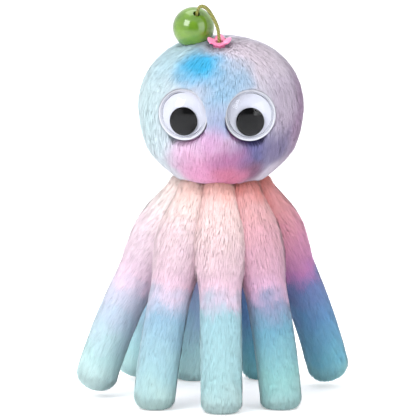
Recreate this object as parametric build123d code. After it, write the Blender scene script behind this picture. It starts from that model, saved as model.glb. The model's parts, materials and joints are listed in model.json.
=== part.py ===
from build123d import *
import math
import os

# A plush octopus charm. Millimetres, +Z up, front toward -Y, standing on the plane z = 0.
# "left" and "right" are as seen from the front.

# Driving dimensions: the head
head_radius = 34.9        # fabric radius at the widest height; the pile stands outside it
head_rise = 29.1          # from the widest height up to the crown
head_drop = 33.4          # from the widest height down to the neck
crown_radius = 50.0       # flattened top of the head
neck_margin = 4.1         # from the ring of arm roots out to the neck's edge
head_wall = 2.0           # backing cloth and the dense foot of the pile
base_thickness = 1.4
thread_radius = 0.5
thread_rise = 1.0         # the gathering thread's height above the neck's edge
thread_bite = 0.3         # how deep the thread's middle is pulled into the cloth

# Driving dimensions: the eyes
eye_radius = 12.5
eye_spread = 15.4         # from the middle of the face to each eye's centre
eye_sink = 4.3            # how far behind the widest fabric each eye's back is
eye_height = 1.0          # above the widest height of the head
eye_turn = 15.0           # degrees that each eye faces outward
cup_thickness = 1.2
rim_width = 1.1
rim_height = 2.6          # from the eye's back to the top of the cup's rim
post_radius = 2.0
post_length = 13.0
washer_radius = 6.0
washer_thickness = 1.2
dome_skirt = 1.6          # upright foot of the dome
dome_rise = 4.6           # from its foot to its top
dome_wall = 1.0
pupil_radius = 6.75
pupil_thickness = 1.0
pupil_gap = 0.3           # play above, below and outside the loose pupil

# Driving dimensions: the flower, the cord and the bead
flower_lean = 14.0        # degrees that the flower sits forward of the crown's top
collar_radius = 3.0
collar_height = 4.8       # the petals lie on the tips of the pile
petal_count = 5
petal_radius = 2.6
petal_centre = 3.3
petal_thickness = 1.0
petal_cup_radius = 13.0
cord_radius = 0.65
strand_gap = 0.2          # between the two strands of the cord
cord_hole_gap = 0.5       # round the strands where they leave the head
anchor_overlap = 1.7      # how far the washer inside the head reaches past the cord's hole
anchor_thickness = 1.2
anchor_gap = 0.5
bead_radius = 10.0
bead_bore_gap = 0.2       # round the strands in the bead
bead_head_gap = 0.56      # from the bead to the crown's fabric, pile between them
bead_aside = 7.39         # from the flower's axis to the nearest side of the bead
bead_turn = 138.38        # degrees round the flower to the bead, from +X
bore_direction = (-0.186, 0.595, -0.78)
knot_grip = 0.6           # how much larger than the bore the knot is
knot_gap = 0.4            # between the knot and its pocket
knot_sink = 1.4           # how far inside the bead's round the knot's centre is

# Driving dimensions: the arms
arm_radius = 8.2
arm_root_radius = 5.9
root_spacing = 0.75       # between two neighbouring arms' roots
arm_taper_length = 38.0   # from the root to where the arm is at its full thickness
arm_droop_length = 60.5   # the stretch that droops, along its middle line
arm_droop = 12.0          # degrees that the arm bends over that stretch
arm_wall = 1.4
root_gap = 0.3            # between an arm's root and the head's base
floor_press = 1.0         # how far the lowest tips are pressed flat by the floor
stitch_radius = 0.4
stitch_knot_radius = 1.3
stitch_knot_thickness = 0.8

fit_gap = 0.25            # clearance round posts and washers in the filling

# Each arm: its place round the neck, the way it leans, and its lean from the vertical at the
# root. Directions are degrees from the front, counted toward +X.
ARMS = {
    "front": (0.0, 6.0, 20.5),
    "front_right": (45.0, 43.0, 20.0),
    "right": (90.0, 128.0, 29.0),
    "rear_right": (135.0, 170.0, 23.0),
    "rear": (180.0, 213.0, 20.5),
    "rear_left": (225.0, 231.0, 28.0),
    "left": (270.0, 281.0, 29.5),
    "front_left": (315.0, 325.0, 22.0),
}

# The route of the cord's middle line, between the washer inside the head and the knot in the
# bead: first from the foot of the flower, then from the mouth of the bead's bore.
CORD_RISE = [
    (0.0, -1.52, 6.1),
    (-0.5, 0.0, 11.1),
    (-1.8, 1.0, 14.4),
    (-3.4, 1.9, 17.2),
]
CORD_DROP = [
    (5.84, -0.44, 1.59),
    (4.44, -1.04, 3.09),
    (2.74, -1.64, 3.89),
    (1.34, -1.94, 3.49),
    (0.64, -1.74, 2.09),
]


def compass(degrees):
    """The level unit vector that many degrees round from the front (-Y) toward +X."""
    angle = math.radians(degrees)
    return Vector(math.sin(angle), -math.cos(angle), 0)


def arm_middle_point(turned):
    """A point on the drooping stretch's middle line, in the arm's own frame: (out, up)."""
    bend_radius = arm_droop_length / math.radians(arm_droop)
    angle = math.radians(turned)
    return (-bend_radius * (1 - math.cos(angle)), -arm_taper_length - bend_radius * math.sin(angle))


def arm_tip(lean):
    """How far out and down from its root the centre of an arm's tip is, at that lean."""
    out, up = arm_middle_point(arm_droop)
    angle = math.radians(lean)
    return (out * math.cos(angle) - up * math.sin(angle), up * math.cos(angle) + out * math.sin(angle))


root_circle_radius = (arm_root_radius + root_spacing / 2) / math.sin(math.pi / len(ARMS))
neck_radius = root_circle_radius + neck_margin
lowest_tip = min(arm_tip(lean)[1] for _, _, lean in ARMS.values())
hinge_height = arm_radius - lowest_tip - floor_press
neck_height = hinge_height + arm_root_radius + root_gap
widest_height = neck_height + head_drop

tips = []
for place, heading, lean in ARMS.values():
    tips.append(compass(place) * root_circle_radius + compass(heading) * arm_tip(lean)[0])
axis_x = -(max(tip.X for tip in tips) + min(tip.X for tip in tips)) / 2
axis_y = -(max(tip.Y for tip in tips) + min(tip.Y for tip in tips)) / 2
head_axis = Vector(axis_x, axis_y, 0)

shoulder_radius = (head_radius**2 + head_rise**2 - 2 * head_rise * crown_radius) / (
    2 * (head_radius - crown_radius)
)
belly_radius = ((head_radius - neck_radius) ** 2 + head_drop**2) / (2 * (head_radius - neck_radius))
crown_centre = Vector(0, 0, widest_height + head_rise - crown_radius)
flower_axis = Vector(0, -math.sin(math.radians(flower_lean)), math.cos(math.radians(flower_lean)))
flower_foot = head_axis + crown_centre + flower_axis * crown_radius
flower_plane = Plane(origin=flower_foot, x_dir=(1, 0, 0), z_dir=flower_axis)
strand_offset = cord_radius + strand_gap / 2
cord_hole_radius = strand_offset + cord_radius + cord_hole_gap
anchor_radius = cord_hole_radius + anchor_overlap
bead_bore_radius = strand_offset + cord_radius + bead_bore_gap
knot_radius = bead_bore_radius + knot_grip
knot_pocket_radius = knot_radius + knot_gap
knot_distance = bead_radius - knot_sink
bore_axis = Vector(*bore_direction).normalized()
bead_distance = crown_radius + bead_head_gap + bead_radius
bead_swing = math.degrees(math.asin((bead_radius + bead_aside) / bead_distance))
bead_spoke = flower_plane.x_dir.rotate(Axis((0, 0, 0), flower_axis), bead_turn)
bead_direction = flower_axis.rotate(Axis((0, 0, 0), flower_axis.cross(bead_spoke)), bead_swing)
bead_centre = head_axis + crown_centre + bead_direction * bead_distance
bead_mouth = bead_centre - bore_axis * bead_radius
strand_side = Vector(0.1, 0.97, 0.2).normalized()


def on_circle(centre, radius, degrees):
    """The point at that angle on a circle in the half-section, as (r, z)."""
    angle = math.radians(degrees)
    return (centre[0] + radius * math.cos(angle), centre[1] + radius * math.sin(angle))


def balloon(inset, bottom):
    """The head's solid of revolution, that far inside its fabric: crown, shoulder and belly arcs."""
    crown = (0, crown_centre.Z)
    shoulder = (head_radius - shoulder_radius, widest_height)
    belly = (head_radius - belly_radius, widest_height)
    meet = math.degrees(math.atan2(shoulder[1] - crown[1], shoulder[0]))
    low = -math.degrees(math.asin((widest_height - bottom) / (belly_radius - inset)))
    top = on_circle(crown, crown_radius - inset, 90)
    joint = on_circle(crown, crown_radius - inset, meet)
    side = on_circle(shoulder, shoulder_radius - inset, 0)
    foot = on_circle(belly, belly_radius - inset, low)
    outline = [
        ThreePointArc(top, on_circle(crown, crown_radius - inset, (90 + meet) / 2), joint),
        ThreePointArc(joint, on_circle(shoulder, shoulder_radius - inset, meet / 2), side),
        ThreePointArc(side, on_circle(belly, belly_radius - inset, low / 2), foot),
        Line(foot, (0, bottom)),
        Line((0, bottom), top),
    ]
    section = Plane.XZ * make_face(outline)
    return Pos(axis_x, axis_y, 0) * revolve(section, Axis.Z)


def eye_plane(side):
    """The plane of an eye's back, facing outward, with its Y axis up. side is -1 left, 1 right."""
    centre = head_axis + Vector(side * eye_spread, eye_sink - head_radius, widest_height + eye_height)
    facing = compass(side * eye_turn)
    return Plane(origin=centre, x_dir=(-facing.Y, facing.X, 0), z_dir=facing)


def disc(radius, low, high, plane):
    """A round plate or rod between two heights above a plane."""
    align = (Align.CENTER, Align.CENTER, Align.MIN)
    return plane * Pos(0, 0, low) * Cylinder(radius, high - low, align=align)


def eye_seat(side, margin):
    """What a pressed-in eye takes out of the head, grown by a margin all round."""
    return disc(eye_radius + fit_gap + margin, -margin, head_radius, eye_plane(side))


def belly_width(height):
    """The fabric's radius at that height, below the head's widest."""
    below_widest = widest_height - height
    return head_radius - belly_radius + math.sqrt(belly_radius**2 - below_widest**2)


SIDES = {"left": -1, "right": 1}


def make_head():
    """The plush cover, its base patch, the filling, and the thread that gathers the neck."""
    outside = balloon(0, neck_height)
    inside = balloon(head_wall, neck_height)
    for side in SIDES.values():
        outside -= eye_seat(side, 0)
        inside -= eye_seat(side, head_wall)
    cover = outside - inside
    slab = Pos(axis_x, axis_y, neck_height) * Box(
        4 * head_radius, 4 * head_radius, base_thickness, align=(Align.CENTER, Align.CENTER, Align.MIN)
    )
    base = inside & slab
    filling = inside - slab
    cord_path = disc(cord_hole_radius, -head_wall - anchor_gap, head_wall, flower_plane)
    cover -= cord_path
    filling -= cord_path
    filling -= disc(
        anchor_radius + fit_gap,
        -head_wall - anchor_gap - anchor_thickness - fit_gap,
        0,
        flower_plane,
    )
    for side in SIDES.values():
        plane = eye_plane(side)
        post = disc(post_radius + fit_gap, -post_length - fit_gap, cup_thickness, plane)
        cover -= post
        cover -= disc(washer_radius, -head_wall - washer_thickness, -head_wall, plane)
        filling -= post
        filling -= disc(washer_radius + fit_gap, -head_wall - washer_thickness - fit_gap, 0, plane)
    legs, knots = make_stitches()
    cover -= legs + knots
    base -= legs
    filling -= knots
    thread_height = neck_height + thread_rise
    thread_circle = belly_width(thread_height) - thread_bite
    thread = Pos(axis_x, axis_y, thread_height) * Torus(thread_circle, thread_radius)
    thread -= outside
    return {
        "head_cover": cover,
        "head_base": base,
        "head_filling": filling,
        "neck_thread": thread,
        "arm_stitches": legs + knots,
    }


def make_stitches():
    """The thread leg through the base above each arm, and its knot on the inner side."""
    legs = Part()
    knots = Part()
    for place, _, _ in ARMS.values():
        foot = head_axis + compass(place) * root_circle_radius + Vector(0, 0, neck_height)
        plane = Plane(origin=foot, z_dir=(0, 0, 1))
        legs += disc(stitch_radius, 0, base_thickness, plane)
        knots += disc(stitch_knot_radius, base_thickness, base_thickness + stitch_knot_thickness, plane)
    return legs, knots


def make_eye(side):
    """One wiggle eye: white cup with its rim and post, clear dome, loose pupil, inside washer."""
    plane = eye_plane(side)
    dome_radius = eye_radius - rim_width
    cup = disc(eye_radius, 0, rim_height, plane)
    cup -= disc(dome_radius, cup_thickness, rim_height, plane)
    cup += disc(post_radius, -post_length, 0, plane)
    washer = disc(washer_radius, -head_wall - washer_thickness, -head_wall, plane)
    washer -= disc(post_radius, -post_length, 0, plane)
    ball_radius = (dome_radius**2 + dome_rise**2) / (2 * dome_rise)
    dome_top = cup_thickness + dome_skirt + dome_rise
    ball_depth = dome_top - ball_radius
    ball_centre = plane * Pos(0, 0, ball_depth)
    dome = disc(dome_radius, cup_thickness, dome_top, plane) & (ball_centre * Sphere(ball_radius))
    chamber_radius = dome_radius - dome_wall
    chamber = disc(chamber_radius, cup_thickness, dome_top, plane)
    dome -= chamber & (ball_centre * Sphere(ball_radius - dome_wall))
    pupil_back = cup_thickness + pupil_gap
    pupil_front = pupil_back + pupil_thickness
    room_above = math.sqrt((ball_radius - dome_wall) ** 2 - (pupil_front - ball_depth) ** 2)
    room = min(chamber_radius, room_above)
    drop = room - pupil_gap - pupil_radius
    pupil = Pos(0, 0, -drop) * disc(pupil_radius, pupil_back, pupil_front, plane)
    return {"cup": cup, "dome": dome, "pupil": pupil, "washer": washer}


def make_flower():
    """Five cupped petals on a short collar that the cord comes up through."""
    lobes = Circle(collar_radius)
    lobes += PolarLocations(petal_centre, petal_count, start_angle=90) * Circle(petal_radius)
    column = extrude(flower_plane * lobes, 2 * petal_cup_radius)
    ball_centre = flower_plane * Pos(0, 0, collar_height + petal_cup_radius)
    cup = ball_centre * Sphere(petal_cup_radius) - ball_centre * Sphere(petal_cup_radius - petal_thickness)
    lower_half = disc(2 * petal_cup_radius, 0, collar_height + petal_cup_radius / 2, flower_plane)
    petals = column & cup & lower_half
    collar = disc(collar_radius, -head_wall / 2, collar_height + petal_thickness, flower_plane)
    flower = petals + collar
    flower -= disc(cord_hole_radius, -head_wall, 2 * petal_cup_radius, flower_plane)
    return flower - balloon(0, neck_height)


def cord_points(shift):
    """One strand's route: from the anchor, over the arch and into the knot in the bead."""
    start = flower_foot - flower_axis * (head_wall + anchor_gap)
    rise = [flower_foot + Vector(*point) for point in CORD_RISE]
    drop = [bead_mouth + Vector(*point) for point in CORD_DROP]
    end = bead_centre + bore_axis * knot_distance
    return [point + shift for point in [start] + rise + drop + [end]]


def bend_radii(points):
    """At each corner, the largest arc that its two runs allow."""
    radii = []
    for before, corner, after in zip(points, points[1:], points[2:]):
        run_in = corner - before
        run_out = after - corner
        half_turn = math.radians(run_in.get_angle(run_out)) / 2
        radii.append(0.45 * min(run_in.length, run_out.length) / math.tan(half_turn))
    return radii


def make_strand(shift, name):
    """One strand of the doubled cord, as a tube of straight runs and tangent arcs."""
    points = cord_points(shift)
    radii = bend_radii(points)
    path = FilletPolyline(*points, radius=radii)
    section = Plane(origin=points[0], z_dir=path % 0) * Circle(cord_radius)
    tube = sweep(section, path=path)
    expected = math.pi * cord_radius**2 * path.length
    print(name, "length", round(path.length, 1), "radii", [round(radius, 2) for radius in radii])
    print(name, "volume", round(tube.volume, 2), "section times length", round(expected, 2))
    return tube


def make_cord():
    """The two strands, the washer that holds them inside the head, the knot, and the bead."""
    anchor_top = -head_wall - anchor_gap
    anchor = disc(anchor_radius, anchor_top - anchor_thickness, anchor_top, flower_plane)
    knot = Pos(*(bead_centre + bore_axis * knot_distance)) * Sphere(knot_radius)
    front = make_strand(strand_side * -strand_offset, "front strand") - knot - anchor
    back = make_strand(strand_side * strand_offset, "back strand") - knot - anchor
    bore_plane = Plane(origin=bead_centre, z_dir=bore_axis)
    bead = Pos(*bead_centre) * Sphere(bead_radius)
    bead -= disc(bead_bore_radius, -bead_radius, bead_radius, bore_plane)
    bead -= disc(knot_pocket_radius, knot_distance - knot_pocket_radius, bead_radius, bore_plane)
    return {
        "cord_anchor": anchor,
        "cord_strand_front": front,
        "cord_strand_back": back,
        "cord_knot": knot,
        "bead": bead,
    }


def arm_solid(inset):
    """A stuffed arm hanging straight down from its root, drooping toward -X: cone, bend, tip."""
    root = arm_root_radius - inset
    full = arm_radius - inset
    slope = math.acos(root / math.hypot(full, arm_taper_length)) - math.atan2(arm_taper_length, full)
    shoulder = (root * math.cos(slope), root * math.sin(slope))
    half_way = (90 + math.degrees(slope)) / 2
    outline = [
        ThreePointArc((0, root), on_circle((0, 0), root, half_way), shoulder),
        Polyline(shoulder, (full, -arm_taper_length), (0, -arm_taper_length), (0, root)),
    ]
    solid = revolve(Plane.XZ * make_face(outline), Axis.Z)
    bend_radius = arm_droop_length / math.radians(arm_droop)
    ring = Pos(0, 0, -arm_taper_length) * Circle(full)
    bend_axis = Axis((-bend_radius, 0, -arm_taper_length), (0, 1, 0))
    solid += revolve(ring, bend_axis, revolution_arc=arm_droop)
    out, up = arm_middle_point(arm_droop)
    solid += Pos(out, 0, up) * Sphere(full)
    return solid


def place_arm(solid, name):
    """Moves an arm from its own frame to its place under the neck."""
    place, heading, lean = ARMS[name]
    root = head_axis + compass(place) * root_circle_radius + Vector(0, 0, hinge_height)
    return Pos(*root) * Rot(0, 0, heading - 90) * Rot(0, -lean, 0) * solid


def below(height):
    """Everything lower than that height."""
    size = 10 * head_radius
    return Pos(0, 0, height) * Box(size, size, size, align=(Align.CENTER, Align.CENTER, Align.MAX))


def make_arm(name, skin, filling):
    """One arm's cover and its filling, pressed flat where the floor carries it."""
    outer = place_arm(skin, name) - below(0)
    inner = place_arm(filling, name) - below(arm_wall)
    return {"cover": outer - inner, "filling": inner}


def collect():
    """Every piece by its node name."""
    pieces = make_head()
    for side_name, side in SIDES.items():
        for piece, solid in make_eye(side).items():
            pieces["eye_" + piece + "_" + side_name] = solid
    pieces["flower"] = make_flower()
    pieces.update(make_cord())
    skin = arm_solid(0)
    filling = arm_solid(arm_wall)
    for name in ARMS:
        for piece, solid in make_arm(name, skin, filling).items():
            pieces["arm_" + name + "_" + piece] = solid
    return pieces


os.makedirs("parts", exist_ok=True)
for node, shape in collect().items():
    export_step(shape, os.path.join("parts", node + ".step"))
print("head axis", round(axis_x, 3), round(axis_y, 3), "arm hinge height", round(hinge_height, 3))
print("flower foot", [round(value, 3) for value in flower_foot])
print("flower axis", [round(value, 5) for value in flower_axis])
print("bead centre", [round(value, 3) for value in bead_centre])
print("root circle", round(root_circle_radius, 3), "neck radius", round(neck_radius, 3))
for arm, (place, heading, lean) in ARMS.items():
    root = head_axis + compass(place) * root_circle_radius
    print("arm", arm, "root", round(root.X, 3), round(root.Y, 3), "heading", heading)
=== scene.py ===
import json
import math

import bpy
import numpy as np
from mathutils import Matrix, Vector


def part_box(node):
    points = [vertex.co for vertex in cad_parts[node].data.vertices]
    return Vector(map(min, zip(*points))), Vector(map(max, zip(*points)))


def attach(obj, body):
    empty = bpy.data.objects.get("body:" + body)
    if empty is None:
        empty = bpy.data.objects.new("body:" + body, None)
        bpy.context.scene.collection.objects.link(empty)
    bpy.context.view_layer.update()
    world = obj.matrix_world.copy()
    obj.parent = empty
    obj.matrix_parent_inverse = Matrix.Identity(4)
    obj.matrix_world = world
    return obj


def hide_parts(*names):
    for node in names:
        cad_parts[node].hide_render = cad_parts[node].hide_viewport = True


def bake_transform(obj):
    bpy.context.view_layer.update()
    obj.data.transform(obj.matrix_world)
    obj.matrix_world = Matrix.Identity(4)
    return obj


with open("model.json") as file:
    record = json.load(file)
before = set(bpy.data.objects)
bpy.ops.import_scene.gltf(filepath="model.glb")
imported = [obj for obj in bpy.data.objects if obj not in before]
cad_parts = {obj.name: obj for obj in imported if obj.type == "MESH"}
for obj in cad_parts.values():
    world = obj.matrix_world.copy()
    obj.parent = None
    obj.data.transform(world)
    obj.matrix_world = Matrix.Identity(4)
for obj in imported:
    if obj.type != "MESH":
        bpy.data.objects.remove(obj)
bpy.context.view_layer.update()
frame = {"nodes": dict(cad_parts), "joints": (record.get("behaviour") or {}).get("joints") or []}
joints = {joint["name"]: joint for joint in frame["joints"]}

# ---------------------------------------------------------------------------------------------
# The camera looks slightly down on the face, from a little to the right of straight ahead.
# A long lens keeps the arms near and far at one scale.
view_turn = math.radians(3.5)
view_lift = math.radians(10.0)
lens_mm = 1200.0
sensor_mm = 36.0
field_width = 0.1997
look_aside = -0.0062
look_height = 0.0912

scene = bpy.context.scene
scene.view_settings.view_transform = "Standard"
view_right = Vector((math.cos(view_turn), math.sin(view_turn), 0))
toward_camera = Vector((
    math.sin(view_turn) * math.cos(view_lift),
    -math.cos(view_turn) * math.cos(view_lift),
    math.sin(view_lift),
))
cover_low, cover_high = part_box("head_cover")
head_radius = (cover_high.x - cover_low.x) / 2
head_x = cover_low.x + head_radius
head_y = cover_high.y - head_radius
look_at = Vector((head_x, head_y, look_height)) + view_right * look_aside
camera = bpy.data.objects.new("camera", bpy.data.cameras.new("camera"))
camera.data.lens = lens_mm
camera.data.sensor_width = sensor_mm
camera.location = look_at + toward_camera * (field_width * lens_mm / sensor_mm)
camera.rotation_euler = toward_camera.to_track_quat("Z", "Y").to_euler()
scene.collection.objects.link(camera)
scene.camera = camera

# ---------------------------------------------------------------------------------------------
# A soft box high on the left in front, a weaker one on the right and one overhead, in a white
# room that is darker behind the camera, and a plain pale table top that glows to the camera.


def soft_box(name, place, size, watts):
    """A square lamp of that size and power, at that place, aimed at the middle of the toy."""
    lamp = bpy.data.lights.new(name, "AREA")
    lamp.size = size
    lamp.energy = watts
    box = bpy.data.objects.new(name, lamp)
    box.location = place
    box.rotation_euler = (Vector(place) - look_at).to_track_quat("Z", "Y").to_euler()
    scene.collection.objects.link(box)


soft_box("window_left", (-0.75, -0.85, 0.85), 0.7, 10.0)
soft_box("fill_right", (0.95, -0.75, 0.45), 0.9, 4.5)
soft_box("top_light", (-0.1, 0.25, 1.2), 0.8, 4.0)


def set_inputs(tree, node, inputs):
    """Gives a node its inputs, by name or by place: each is a plain value, or the output that is
    wired to it."""
    for name, value in inputs.items():
        if isinstance(value, bpy.types.NodeSocket):
            tree.links.new(value, node.inputs[name])
        else:
            node.inputs[name].default_value = value


def add_node(tree, kind, inputs=None, **settings):
    """Adds a shader node of that kind to a tree, with its settings and then its inputs."""
    node = tree.nodes.new("ShaderNode" + kind)
    for name, value in settings.items():
        setattr(node, name, value)
    set_inputs(tree, node, inputs or {})
    return node


def two_tones(tree, factor, dark, light, start=0.0, end=1.0):
    """The colour between two tones where the factor is between start and end."""
    ramp = add_node(tree, "ValToRGB", {"Fac": factor})
    first, last = ramp.color_ramp.elements
    first.position, first.color = start, dark
    last.position, last.color = end, light
    return ramp.outputs["Color"]


surroundings = bpy.data.worlds.new("surroundings")
scene.world = surroundings
surroundings.use_nodes = True
room = surroundings.node_tree
white = room.nodes["Background"]
set_inputs(room, white, {"Color": (1, 1, 1, 1), "Strength": 1.0})
dark_side = add_node(room, "Background", {"Color": (1, 1, 1, 1), "Strength": 0.12})
toward = add_node(room, "TexCoord")
beside = add_node(room, "VectorMath", {0: toward.outputs["Generated"], 1: (0.05, -0.97, 0.24)},
                  operation="DISTANCE")
how_far_front = add_node(room, "MapRange", {
    "Value": beside.outputs["Value"], "From Min": 0.62, "From Max": 0.40})
both = add_node(room, "MixShader", {
    0: how_far_front.outputs["Result"], 1: white.outputs[0], 2: dark_side.outputs[0]})
set_inputs(room, room.nodes["World Output"], {"Surface": both.outputs[0]})


def paint(red, green, blue):
    """A colour mixed on screen, 0 to 255, as the linear colour a shader takes: c below 0.04 is
    divided by 12.92, and above it is ((c + 0.055) / 1.055) to the power 2.4."""
    share = np.array([red, green, blue]) / 255
    linear = np.where(share <= 0.04045, share / 12.92, ((share + 0.055) / 1.055) ** 2.4)
    return (*(float(value) for value in linear), 1.0)


def new_material(name):
    """A node material with its Principled shader, ready to be wired."""
    material = bpy.data.materials.new(name)
    material.use_nodes = True
    return material, material.node_tree, material.node_tree.nodes["Principled BSDF"]


def build_mesh(name, vertices, faces, material, smooth=True):
    """Turns arrays of points and faces into an object, and reverses the faces of a closed shape
    whose signed volume, the sum of a . (b x c) / 6 over its triangles, comes out negative."""
    mesh = bpy.data.meshes.new(name)
    volume = 0.0
    for block in faces:
        a, b, c = (vertices[block[:, k]] for k in (0, 1, 2))
        volume += np.einsum("ij,ij->i", a, np.cross(b, c)).sum()
        if block.shape[1] == 4:
            d = vertices[block[:, 3]]
            volume += np.einsum("ij,ij->i", a, np.cross(c, d)).sum()
    if volume < 0:
        faces = [block[:, ::-1] for block in faces]
    mesh.from_pydata(vertices.tolist(), [], [face for block in faces for face in block.tolist()])
    if smooth:
        mesh.shade_smooth()
    mesh.materials.append(material)
    piece = bpy.data.objects.new(name, mesh)
    scene.collection.objects.link(piece)
    return piece


table_material, table_nodes, table_shader = new_material("table_top")
seen = add_node(table_nodes, "LightPath")
glow = add_node(table_nodes, "Math", {0: seen.outputs["Is Camera Ray"], 1: 0.42}, operation="MULTIPLY")
table_grain = add_node(table_nodes, "TexNoise", {"Scale": 6.0})
table_tones = two_tones(table_nodes, table_grain.outputs["Fac"], paint(243, 243, 245), paint(248, 248, 250))
set_inputs(table_nodes, table_shader, {
    "Base Color": table_tones,
    "Roughness": 0.6,
    "Emission Color": (1, 1, 1, 1),
    "Emission Strength": glow.outputs[0],
})
table_corners = np.array([(-6.0, -6.0, 0.0), (6.0, -6.0, 0.0), (6.0, 6.0, 0.0), (-6.0, 6.0, 0.0)])
build_mesh("table_top", table_corners, [np.array([[0, 1, 2, 3]])], table_material)

# ---------------------------------------------------------------------------------------------
# The cord: two strands of waxed round cord, side by side, from a washer inside the crown, up
# through the flower, over an arch and down the bead's bore into a knot.
strand_thickness = 0.0013
strand_shift = Vector((0.0000753, 0.0007308, 0.0001507))
cord_route = [
    (0.004447, -0.010959, 0.166293),
    (0.004447, -0.013084, 0.174819),
    (0.003947, -0.011564, 0.179819),
    (0.002647, -0.010564, 0.183119),
    (0.001047, -0.009664, 0.185919),
    (-0.000850, -0.008693, 0.188686),
    (-0.002250, -0.009293, 0.190186),
    (-0.003950, -0.009893, 0.190986),
    (-0.005350, -0.010193, 0.190586),
    (-0.006050, -0.009993, 0.189186),
    (-0.010155, 0.002832, 0.172566),
]


def cord_curve(name, points, material):
    """A round strand: a NURBS curve of order 3 whose control points are the route's points."""
    curve = bpy.data.curves.new(name, "CURVE")
    curve.dimensions = "3D"
    line = curve.splines.new("NURBS")
    line.points.add(len(points) - 1)
    for spot, point in zip(line.points, points):
        spot.co = (*point, 1.0)
    line.order_u = 3
    line.use_endpoint_u = True
    curve.resolution_u = 20
    curve.bevel_depth = strand_thickness / 2
    curve.bevel_resolution = 6
    curve.use_fill_caps = True
    curve.materials.append(material)
    strand = bpy.data.objects.new(name, curve)
    scene.collection.objects.link(strand)
    return strand


cord_material, cord_nodes, cord_shader = new_material("waxed_cord")
cord_place = add_node(cord_nodes, "TexCoord")
cord_twist = add_node(cord_nodes, "TexWave", {
    "Vector": cord_place.outputs["Object"], "Scale": 420.0, "Distortion": 1.2}, bands_direction="DIAGONAL")
cord_bump = add_node(cord_nodes, "Bump", {
    "Strength": 0.35, "Distance": 0.0002, "Height": cord_twist.outputs["Fac"]})
set_inputs(cord_nodes, cord_shader, {
    "Base Color": two_tones(cord_nodes, cord_twist.outputs["Fac"], paint(104, 104, 40), paint(156, 154, 80)),
    "Roughness": 0.42,
    "Specular IOR Level": 0.45,
    "Normal": cord_bump.outputs["Normal"],
})

flower_foot = Vector(joints["cord_swivel"]["pos_m"])
flower_axis = Vector(joints["cord_swivel"]["axis"]).normalized()
for side, shift in (("front", -strand_shift), ("back", strand_shift)):
    strand = cord_curve("cord_" + side, [Vector(point) + shift for point in cord_route], cord_material)
    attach(strand, "cord")
    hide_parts("cord_strand_" + side)

# ---------------------------------------------------------------------------------------------
# The knot that stops the bead: both strands wrapped round each other and pulled tight in the
# pocket under the bead's bore.
knot_reach = 0.00145
knot_strand_radius = 0.00062
bead_centre = Vector(joints["bead_spin"]["pos_m"])
bore_axis = Vector(joints["bead_spin"]["axis"]).normalized()


def grid_faces(rows, columns):
    """Quads between neighbouring rows and columns of a grid that closes both ways."""
    spot = np.arange(rows * columns).reshape(rows, columns)
    below, beside = np.roll(spot, -1, 0), np.roll(spot, -1, 1)
    across = np.roll(below, -1, 1)
    return np.stack([spot, beside, across, below], -1).reshape(-1, 4)


def knot_points(centre, axis):
    """A trefoil: (2 + cos 3t)(cos 2t, sin 2t) / 3 and sin 3t / 2.2, times the reach, with a ring
    of the strand's radius carried round it, square to the line's direction."""
    turn = np.linspace(0, 2 * np.pi, 96, endpoint=False)
    swell = (2 + np.cos(3 * turn)) / 3
    line = np.stack([swell * np.cos(2 * turn), swell * np.sin(2 * turn), np.sin(3 * turn) / 2.2], 1)
    line *= knot_reach
    ahead = np.roll(line, -1, 0) - np.roll(line, 1, 0)
    ahead /= np.linalg.norm(ahead, axis=1, keepdims=True)
    level = np.cross(ahead, line)
    level /= np.linalg.norm(level, axis=1, keepdims=True)
    upward = np.cross(ahead, level)
    around = np.linspace(0, 2 * np.pi, 12, endpoint=False)
    ring = np.cos(around)[None, :, None] * level[:, None] + np.sin(around)[None, :, None] * upward[:, None]
    local = line[:, None] + knot_strand_radius * ring
    turned = np.array(axis.to_track_quat("Z", "Y").to_matrix())
    return local.reshape(-1, 3) @ turned.T + np.array(centre)


knot_low, knot_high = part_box("cord_knot")
knot_surface = knot_points((knot_low + knot_high) / 2, bore_axis)
knot = build_mesh("cord_knot_wrapped", knot_surface, [grid_faces(96, 12)], cord_material)
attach(knot, "cord")
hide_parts("cord_knot")

# ---------------------------------------------------------------------------------------------
# The bead: a turned and lacquered ball, bored right through for the doubled cord, with a wider
# pocket at its lower end that takes the knot.
bead_radius = 0.010
bore_radius = 0.0016
pocket_radius = 0.0026
pocket_depth = 0.0040
lacquer_edge = 0.0003


def soften(corners, radius, steps=5):
    """Rounds the inner corners of a profile: each becomes the curve that starts and ends that far
    from it, (1-t)^2 a + 2t(1-t) corner + t^2 b."""
    corners = np.array(corners, float)
    rounded = [corners[0]]
    blend = np.linspace(0, 1, steps)[:, None]
    for before, corner, after in zip(corners, corners[1:], corners[2:]):
        back, on = before - corner, after - corner
        reach = min(radius, np.linalg.norm(back) / 2.01, np.linalg.norm(on) / 2.01)
        start = corner + back / np.linalg.norm(back) * reach
        end = corner + on / np.linalg.norm(on) * reach
        rounded.extend((1 - blend) ** 2 * start + 2 * blend * (1 - blend) * corner + blend**2 * end)
    rounded.append(corners[-1])
    return np.array(rounded)


def turned_grid(profile, columns, origin, axis, upright=(0, 0, 1)):
    """A profile of (radius, height) carried round an axis: origin + radius (cos a, sin a) across
    the axis + height along it, as a grid of rows along the profile and columns round the axis."""
    axis = np.array(axis, float) / np.linalg.norm(axis)
    across = np.cross(np.array(upright, float), axis)
    if np.linalg.norm(across) < 1e-6:
        across = np.array((1.0, 0.0, 0.0))
    across /= np.linalg.norm(across)
    over = np.cross(axis, across)
    angle = np.linspace(0, 2 * np.pi, columns, endpoint=False)
    ring = np.cos(angle)[:, None] * across + np.sin(angle)[:, None] * over
    profile = np.array(profile)
    return np.array(origin) + profile[:, 0, None, None] * ring + profile[:, 1, None, None] * axis


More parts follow.
